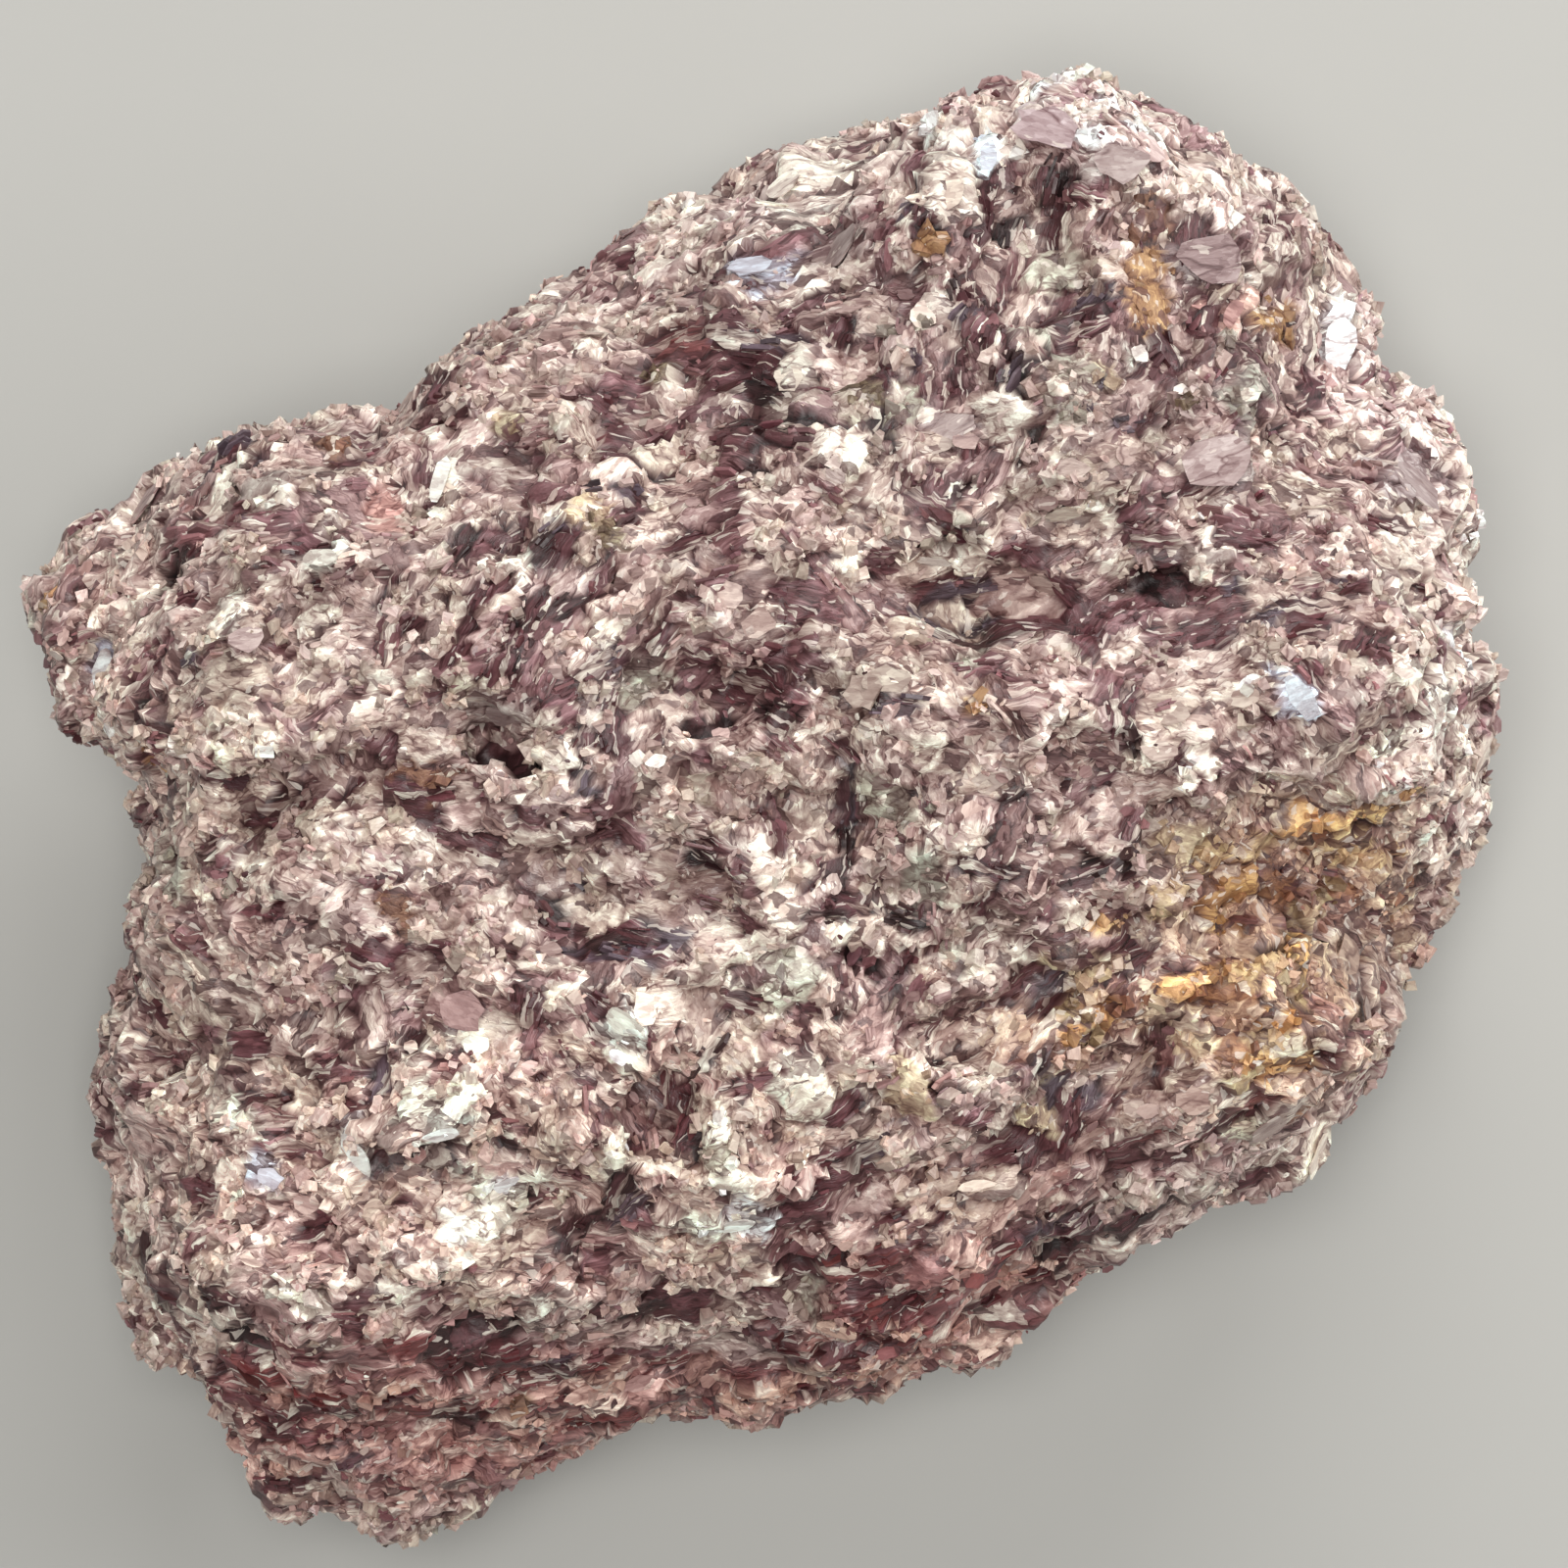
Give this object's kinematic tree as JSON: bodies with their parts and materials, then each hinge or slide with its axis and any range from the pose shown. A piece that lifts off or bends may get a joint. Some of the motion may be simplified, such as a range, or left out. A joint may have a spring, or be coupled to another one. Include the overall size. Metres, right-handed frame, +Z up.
{
  "type": "raw lepidolite",
  "caption": "Rough chunk of lilac mica rock with a glittering flaky surface, lying on its back with its broad face up.",
  "frame": {"origin": "on the surface that the stone rests on, under the middle of its bounding box", "axes": "+Z up, out of the broad rough face; +Y to the high rounded end of that face; +X to its brown-stained side, with the small low lobe on the -X side"},
  "size_m": [0.0808, 0.0796, 0.04],
  "materials": {
    "lepidolite": "rough rock of grown-together mica plates, lilac grey to dusky purple with cream and grey-green grains, pearly on the plates and dull between them, with a rust-brown stain on one side"
  },
  "bodies": {
    "root": {"lepidolite": "lepidolite"}
  },
  "joints": []
}
